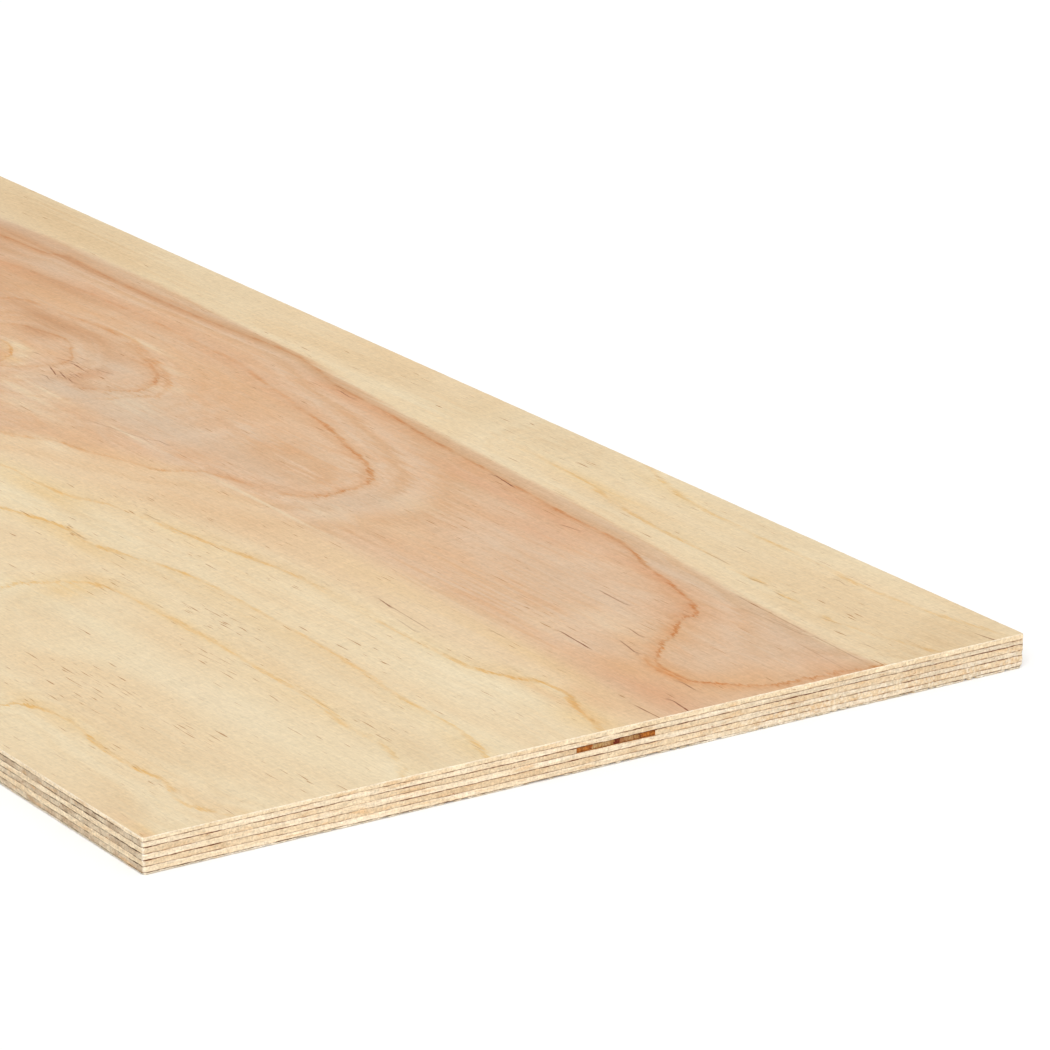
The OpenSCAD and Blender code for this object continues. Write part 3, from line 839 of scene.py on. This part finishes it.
def faceVeneer(look):
    material, tree, shader = newMaterial("birch_face_veneer_rotary_cut_and_sanded", look["surface"])
    grain = grainTextures(tree, placeOf(tree), look, seed=1)
    ringGroups = ("ringA", "ringB", "ringC")
    names = (*ringGroups, "ringSlope", "zone", "cloud", *checks, "spot", "tint")
    fields = {name: fieldOf(tree, name) for name in names}

    # zones of the wood, their borders broken by the fibres
    upper, lower, beyond = fields["zone"]
    border = pushed(tree, upper, grain, look["borderPush"])
    heartTop = addNode(tree, "MapRange", (border, *look["heartEdge"]), interpolation_type="SMOOTHSTEP")
    rim = addNode(tree, "MapRange", (border, *look["rimEdge"]), interpolation_type="SMOOTHSTEP")
    heart = addNode(tree, "Math", (heartTop, lower), operation="MULTIPLY")
    passage = addNode(tree, "Math", (heartTop, beyond), operation="MULTIPLY")
    rim = addNode(tree, "Math", (rim, heart), operation="MULTIPLY")
    sapwood = layColours(tree, look["sapLight"], [("MIX", grain["warm"], look["sapWarm"])])
    heartwood = layColours(tree, look["heartPink"], [("MIX", grain["red"], look["heartRed"])])
    fleckAmount, paleAmount, tanAmount = fields["spot"]
    brownAmount, goldAmount, drawnAge = fields["tint"]
    patches = dict(zip(("rose", "grey", "orange"), fields["cloud"]))
    patches.update(pale=paleAmount, tan=tanAmount, brown=brownAmount, gold=goldAmount)
    for tone, amount in patches.items():
        patches[tone] = addNode(tree, "Math", (amount, grain["patchy"]), operation="MULTIPLY",
                                use_clamp=True)
    wood = layColours(tree, sapwood, [
        ("MIX", patches["tan"], look["tan"]), ("MIX", passage, look["passage"]), ("MIX", heart, heartwood),
        ("MIX", rim, look["rim"])])

    # bands of growth between the rings: noise along the age that the drawn rings give each point
    age = pushed(tree, drawnAge, grain, look["agePush"])
    band = addNode(tree, "TexNoise", {"W": age, "Scale": look["bandCount"], "Detail": look["bandDetail"]},
                   noise_dimensions="1D")
    band = addNode(tree, "MapRange", (band, *look["bandLevels"]))
    bandTint = layColours(tree, look["bandLight"], [("MIX", band, look["bandDark"])])
    inSapwood, moreInHeart = look["bandForce"]
    bandForce = addNode(tree, "Math", (heart, moreInHeart, inSapwood), operation="MULTIPLY_ADD")
    wood = layColours(tree, wood, [("MULTIPLY", bandForce, bandTint)])
    wood = layColours(tree, wood, [("MIX", patches[tone], look[tone])
                                   for tone in ("gold", "rose", "grey", "orange", "brown", "pale")])

    # rings: a thin line with shaded wood on one side, pushed along the grain by the fibres it crosses
    for slope, group in zip(fields["ringSlope"], ringGroups):
        distance, strength, tone = fields[group]
        shift = addNode(tree, "Math", (slope, grain["jagged"], distance), operation="MULTIPLY_ADD")
        shift = addNode(tree, "Math", (shift, grain["wobble"]), operation="ADD")
        shift = addNode(tree, "Math", (shift, grain["fray"]), operation="ADD")
        offLine = addNode(tree, "Math", (shift,), operation="ABSOLUTE")
        line = addNode(tree, "MapRange", (offLine, *look["ringWidth"], 1.0, 0.0),
                       interpolation_type="SMOOTHSTEP")
        inner = addNode(tree, "MapRange", (shift, look["ringShade"], 0.0))
        outer = addNode(tree, "MapRange", (shift, *look["ringOuter"]))
        force = addNode(tree, "Math", (strength, grain["broken"]), operation="MULTIPLY")
        streaky = addNode(tree, "Math", (force, grain["streaky"]), operation="MULTIPLY")
        line = addNode(tree, "Math", (line, streaky), operation="MULTIPLY", use_clamp=True)
        shaded = addNode(tree, "Math", (inner, outer), operation="MULTIPLY")
        shaded = addNode(tree, "Math", (shaded, force), operation="MULTIPLY", use_clamp=True)
        lineTint = layColours(tree, look["sapLine"], [("MIX", tone, look["heartLine"])])
        shadeTint = layColours(tree, look["sapShade"], [("MIX", tone, look["heartShade"])])
        wood = layColours(tree, wood, [("MULTIPLY", shaded, shadeTint), ("MULTIPLY", line, lineTint)])

    # fine fibres, the faint ripple of the lathe knife, short dark flecks and the drawn checks, their cracks
    # darkened with painted shade
    fleck = addNode(tree, "Math", (fleckAmount, look["fleckPush"], grain["fleck"]),
                    operation="MULTIPLY_ADD")
    fleck = addNode(tree, "MapRange", (fleck, *look["fleckLevels"]))
    shade = shadeOf(tree, grain, look["shades"])
    wood = layColours(tree, wood, [("MULTIPLY", 1.0, shade), ("MIX", fleck, look["fleck"])])
    height = grain["fibre"]
    for name in checks:
        offset, force = fields[name][:2]
        wander = pushed(tree, offset, grain, {"fibre": look["checkWander"]})
        wander = addNode(tree, "Math", (wander, look["checkWander"] / 2), operation="SUBTRACT")
        wander = addNode(tree, "Math", (wander,), operation="ABSOLUTE")
        # the crack's line in a dark colour: painted shade inside the crack
        line = addNode(tree, "MapRange", (wander, *look["checkWidth"], 1.0, 0.0))
        shadedCrack = addNode(tree, "Math", (line, force), operation="MULTIPLY", use_clamp=True)
        wood = layColours(tree, wood, [("MIX", shadedCrack, look["shadedCrack"])])
        height = addNode(tree, "Math", (shadedCrack, look["checkRelief"], height), operation="MULTIPLY_ADD")
    dressWood(tree, shader, wood, height, look["relief"])
    return material


# The sheet's back: the same peeled birch, plain and even, with a few quiet rings and no heartwood. Its
# fibres too are drawn coarser than real ones so that they show.
backFinish = {
    "light": "#e6d2ac", "warm": "#dcc299", "fleck": "#b58f63", "ring": (0.93, 0.86, 0.74, 1),
    "ringCount": 10.0, "ringPush": {"fibre": 0.02}, "ringLevels": (0.55, 1.0),
    "surface": {**rawWood, "Roughness": 0.72}, "relief": (0.5, 0.06),
    "grains": {"growth": (620, 95, 1, 0), "fibre": (26, 0.6, 3, 0), "streak": (130, 3.2, 2, 0),
               "broad": (260, 60, 1, 0), "chatter": (1.4, 70, 1, 0), "fleck": (6.5, 0.75, 0, 0)},
    "masks": {"warm": ("broad", 0.35, 0.65), "flecks": ("fleck", 0.76, 0.82, 0.0, 0.6)},
    "shades": {"fibre": 0.11, "streak": 0.08, "chatter": 0.06},
}


def backVeneer(look):
    material, tree, shader = newMaterial("birch_back_veneer_rotary_cut_and_sanded", look["surface"])
    grain = grainTextures(tree, placeOf(tree), look, seed=2)
    age = pushed(tree, grain["growth"], grain, look["ringPush"])
    age = addNode(tree, "Math", (age, look["ringCount"]), operation="MULTIPLY")
    age = addNode(tree, "Math", (age,), operation="FRACT")
    ring = addNode(tree, "MapRange", (age, *look["ringLevels"]))
    wood = layColours(tree, look["light"], [
        ("MIX", grain["warm"], look["warm"]), ("MULTIPLY", ring, look["ring"]),
        ("MULTIPLY", 1.0, shadeOf(tree, grain, look["shades"])), ("MIX", grain["flecks"], look["fleck"])])
    dressWood(tree, shader, wood, grain["fibre"], look["relief"])
    return material


# Sawn edges. Across the grain birch shows open pores as a speckle and takes a darker tone; along it the
# saw leaves pale silky splinters. Glue shows as a broken brown line wherever two plies meet. Real pores are
# about 0.1 mm wide, so pores and grit are drawn about 1 mm wide to show.
# Deep torn pits get painted shade, and the pale mix at the worn corners, the face's arris and the splinters
# is partly a painted highlight
sawnLook = {
    "wearAndHighlight": "#fff6e4", "speck": "#a4623e", "stain": "#dcae78",
    "pitShade": 0.35, "glueLevels": (0.15, 0.75), "dullFrom": (-40, 130),
    "surface": {**rawWood, "Roughness": 0.8}, "relief": (0.6, 0.12),
    "toneLevels": {"across": (0.32, 0.68), "along": (0.32, 0.68), "blocky": (0.38, 0.62)},
    "masks": {"stained": ("stain", 0.56, 0.72, 0.0, 0.45), "specked": ("speck", 0.81, 0.86, 0.0, 0.8),
              "dashed": ("dash", 0.34, 0.66, 0.2, 1.25)},
    "shades": {"pore": 0.36, "mark": 0.36, "grit": 0.45},
}
acrossGrain = {"pore": (1.5, 1.2, 0, 0), "mark": (1.0, 3.4, 1, 6), "tone": (17, 5, 3, 0),
               "dash": (6, 60, 4, 0), "speck": (3.0, 1.0, 0, 0), "grit": (1.0, 0.9, 0, 0),
               "stain": (12, 3, 1, 0)}
edgeGrains = {
    "across": acrossGrain,
    "along": {**acrossGrain, "pore": (3.2, 0.9, 0, 0), "tone": (26, 2.5, 2, 0), "stain": (16, 2, 1, 0)},
    "blocky": {**acrossGrain, "mark": (1.2, 3.4, 1, 6), "tone": (11, 6, 3, 0)},
}
# For each sawn side: grain, axis that it runs along, light and dark wood, glue and how dull it gets to +Y
edgeFinishes = {
    "face_end": ("across", "Y", "#f7e2c0", "#e3caa5", "#6e4020", 0.0),
    "core_end": ("across", "Y", "#eed8b6", "#d8bb95", "#6b3416", 0.0),
    "cross_end": ("along", "Y", "#fae7cb", "#e9d3b1", "#6b3416", 0.15),
    "back_end": ("across", "Y", "#f3e7d3", "#cfbfa2", "#5e4a30", 0.0),
    "face_edge": ("along", "X", "#fdeacb", "#ead2ad", "#6e5234", 0.0),
    "core_edge": ("along", "X", "#fce9c9", "#e6cda8", "#5a3f22", 0.0),
    "cross_edge": ("blocky", "X", "#e2d0b3", "#c1a88a", "#4a2c14", 0.0),
    "back_edge": ("along", "X", "#f3ebdd", "#cdc0a8", "#7a684b", 0.0),
}


def sawnFinish(name, look, seed):
    kind, axis, light, dark, glueColour, dull = edgeFinishes[name]
    material, tree, shader = newMaterial("birch_sawn_" + name, look["surface"])
    place = placeOf(tree, axis)
    grain = grainTextures(tree, place, {**look, "grains": edgeGrains[kind]}, seed)
    glue, wearAndHighlight, torn = fieldOf(tree, "edge")
    shade = shadeOf(tree, grain, look["shades"])
    if dull:
        along = addNode(tree, "SeparateXYZ", (place,))
        dulled = addNode(tree, "MapRange", (along, *look["dullFrom"], 1.0, 1 - dull))
        shade = addNode(tree, "Math", (shade, dulled), operation="MULTIPLY")
    glueLine = addNode(tree, "Math", (glue, grain["dashed"]), operation="MULTIPLY")
    glueLine = addNode(tree, "MapRange", (glueLine, *look["glueLevels"]))
    # painted shade in the deeper torn pits, from the third value of the edge attribute
    pitShade = addNode(tree, "Math", (torn, look["pitShade"]), operation="MULTIPLY")
    tone = addNode(tree, "MapRange", (grain["tone"], *look["toneLevels"][kind]))
    wood = layColours(tree, light, [
        ("MIX", tone, dark), ("MIX", grain["stained"], look["stain"]), ("MULTIPLY", 1.0, shade),
        ("MIX", pitShade, dark), ("MIX", grain["specked"], look["speck"]), ("MIX", wearAndHighlight, look["wearAndHighlight"]),
        ("MIX", glueLine, glueColour)])
    dressWood(tree, shader, wood, grain["pore"], look["relief"])
    return material


# Knot wood and bark: dense red-brown wood, torn short across its end, with orange bark left at its sides.
# Its colours lie at these places along Y, and its pores are drawn about 1 mm wide to show.
knotFinish = {
    "stops": ((-17, "#9a5a2a"), (-15, "#cf8238"), (-11, "#d98f45"), (-7.9, "#b86a2a"), (-6.6, "#e2c794"),
              (-3, "#c9a26a"), (1, "#d2b282"), (4.3, "#b98a52"), (5.5, "#6b2010"), (7.5, "#7a2d18"),
              (9.5, "#b57f52"), (14, "#caa372"), (19, "#bd9058"), (20.5, "#8a552c"), (22, "#cf7d2e"),
              (26, "#de923f"), (28.6, "#b06a2a")),
    "dark": "#8a5630", "glue": "#4a2412", "glueLevels": (0.15, 0.9, 0.0, 0.85),
    "rib": (0.62, 0.48, 0.36, 1), "warp": 6.0,
    "surface": {**rawWood, "Roughness": 0.75}, "relief": (0.7, 0.2),
    "grains": {"warp": (2.2, 1.2, 2, 0), "pore": (1.6, 1.1, 3, 20), "rib": (0.9, 4, 1, 8)},
    "masks": {"pores": ("pore", 0.45, 0.7, 0.0, 0.75), "ribs": ("rib", 0.4, 0.65, 0.0, 0.8)},
}


def knotWood(look):
    material, tree, shader = newMaterial("birch_knot_and_bark_broken_short", look["surface"])
    place = placeOf(tree, "Y")
    grain = grainTextures(tree, place, look, seed=5)
    along = pushed(tree, addNode(tree, "SeparateXYZ", (place,)), grain, {"warp": look["warp"]})
    first = look["stops"][0][0]
    last = look["stops"][-1][0]
    share = addNode(tree, "MapRange", (along, first + look["warp"] / 2, last + look["warp"] / 2))
    colour = addNode(tree, "ValToRGB", (share,))
    elements = colour.node.color_ramp.elements
    for number, (stop, hexColour) in enumerate(look["stops"]):
        inner = 0 < number < len(look["stops"]) - 1
        element = elements.new((stop - first) / (last - first)) if inner else elements[-(number > 0)]
        element.color = toLinear(hexColour)
    glueLine = addNode(tree, "MapRange", (fieldOf(tree, "edge")[0], *look["glueLevels"]))
    wood = layColours(tree, colour, [
        ("MIX", grain["pores"], look["dark"]), ("MULTIPLY", grain["ribs"], look["rib"]),
        ("MIX", glueLine, look["glue"])])
    dressWood(tree, shader, wood, grain["pore"], look["relief"])
    return material


# Inner veneer faces under a film of cured glue: an orange-brown sheen, seen only inside the bark pockets
gluedFinish = {"light": "#c58a4c", "dark": "#9a6230", "surface": {**rawWood, "Roughness": 0.55},
               "grains": {"film": (4, 1.4, 2, 0)}, "masks": {"filmed": ("film", 0.35, 0.65)}}


def gluedVeneer(look):
    material, tree, shader = newMaterial("birch_veneer_under_cured_glue", look["surface"])
    grain = grainTextures(tree, placeOf(tree), look, seed=6)
    wood = layColours(tree, look["light"], [("MIX", grain["filmed"], look["dark"])])
    tree.links.new(wood, shader.inputs["Base Color"])
    return material


glued = gluedVeneer(gluedFinish)
knot = knotWood(knotFinish)
sawn = {name: sawnFinish(name, sawnLook, seed) for seed, name in enumerate(edgeFinishes, 3)}
# For each slot of the record: finish of the ends, of the long edges, of the underside and of the top
plyFinishes = {
    "face_veneer": (sawn["face_end"], sawn["face_edge"], glued, faceVeneer(faceFinish)),
    "crossband": (sawn["cross_end"], sawn["cross_edge"], glued, glued),
    "core_ply": (sawn["core_end"], sawn["core_edge"], glued, glued),
    "back_veneer": (sawn["back_end"], sawn["back_edge"], backVeneer(backFinish), glued),
}
print("finishes:", len(bpy.data.materials))

# Cells along and across and the inset of the rim; the fine one is fine enough for the figure
fineCap = ((200, 250), 3.0)
plainCap = ((50, 20), 12.5)
triangleCount = 0
for ply, node in enumerate(plies):
    mesh, points = plyMesh(ply, fineCap if ply == facePly else plainCap, plainCap)
    if ply == facePly:
        for name, values in faceFigure(points[:, 0], points[:, 1]).items():
            mesh.attributes.new(name, "FLOAT_VECTOR", "POINT").data.foreach_set("vector", values.ravel())
    for finish in (*plyFinishes[slotOf[node]], knot):
        mesh.materials.append(finish)
    piece = inScene(node + "_wood", mesh)
    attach(piece, "root")
    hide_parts(node)
    triangles = len(mesh.loops) - 2 * len(mesh.polygons)
    triangleCount += triangles
    print("ply:", piece.name, triangles, "triangles")
print("all plies:", triangleCount, "triangles")

# White studio: a seamless floor, an even white sky and one broad lamp over the camera's right shoulder.
# The floor and the sky look white to the camera, and light the sheet at the level that its colours are
# written for.
studio = {"floorSide": 60.0, "floorDrop": 0.2 * mm, "floorColour": "#f3f3f3", "floorLift": 0.14,
          "skyLight": 0.55, "lampFrom": (0.6, -0.35, 0.72), "lampStrength": 1.96, "lampSpread": 50}


def seenDirectly(tree):
    # 1 for what the camera sees, also in a reflection or through glass, and 0 for light on other things
    rays = addNode(tree, "LightPath").node.outputs
    seen = addNode(tree, "Math", (rays["Is Camera Ray"], rays["Is Glossy Ray"]), operation="ADD")
    return addNode(tree, "Math", (seen, rays["Is Transmission Ray"]), operation="ADD", use_clamp=True)


def whiteFloor():
    u, v = np.meshgrid([-0.5, 0.5], [-0.5, 0.5])  # one flat square, far wider than the view
    corners = np.stack([u * studio["floorSide"], v * studio["floorSide"], 0 * u - studio["floorDrop"]], -1)
    mesh = bpy.data.meshes.new("studio_floor")
    mesh.from_pydata(corners.reshape(-1, 3).tolist(), [], [(0, 1, 3, 2)])
    material, tree, shader = newMaterial("matt_white_paper", {
        "Base Color": toLinear(studio["floorColour"]), "Roughness": 1.0, "Specular IOR Level": 0.0,
        "Emission Color": (1, 1, 1, 1)})
    lift = addNode(tree, "Math", (seenDirectly(tree), studio["floorLift"]), operation="MULTIPLY")
    tree.links.new(lift, shader.inputs["Emission Strength"])
    mesh.materials.append(material)
    inScene("studio_floor", mesh)


def whiteSky():
    world = bpy.data.worlds.new("even_white_sky")
    world.use_nodes = True
    bpy.context.scene.world = world
    tree = world.node_tree
    background = tree.nodes["Background"]
    background.inputs["Color"].default_value = (1, 1, 1, 1)
    level = addNode(tree, "MapRange", (seenDirectly(tree), 0.0, 1.0, studio["skyLight"], 1.0))
    tree.links.new(level, background.inputs["Strength"])


whiteFloor()
whiteSky()
lamp = bpy.data.lights.new("broad_lamp", "SUN")
lamp.energy = studio["lampStrength"]
lamp.angle = math.radians(studio["lampSpread"])
lampObject = inScene("broad_lamp", lamp)
lampObject.rotation_euler = Vector(studio["lampFrom"]).to_track_quat("Z", "Y").to_euler()

# The photograph's view, solved from the sheet's own edges: place and far clip in metres, angles in degrees,
# lens and sensor in mm
viewpoint = {"place": (2.58529, -1.3334, 0.90374), "azimuth": 56.6955, "elevation": 18.2961,
             "lens": 184.138, "sensor": 36.0, "farClip": 200.0}
camera = bpy.data.cameras.new("camera")
camera.lens = viewpoint["lens"]
camera.sensor_width = viewpoint["sensor"]
camera.clip_end = viewpoint["farClip"]
cameraObject = inScene("camera", camera)
cameraObject.location = viewpoint["place"]
tilt = math.radians(90 - viewpoint["elevation"])
cameraObject.rotation_euler = (tilt, 0, math.radians(viewpoint["azimuth"]))
bpy.context.scene.camera = cameraObject
bpy.context.scene.view_settings.view_transform = "Standard"
print("studio, lamp and camera placed")
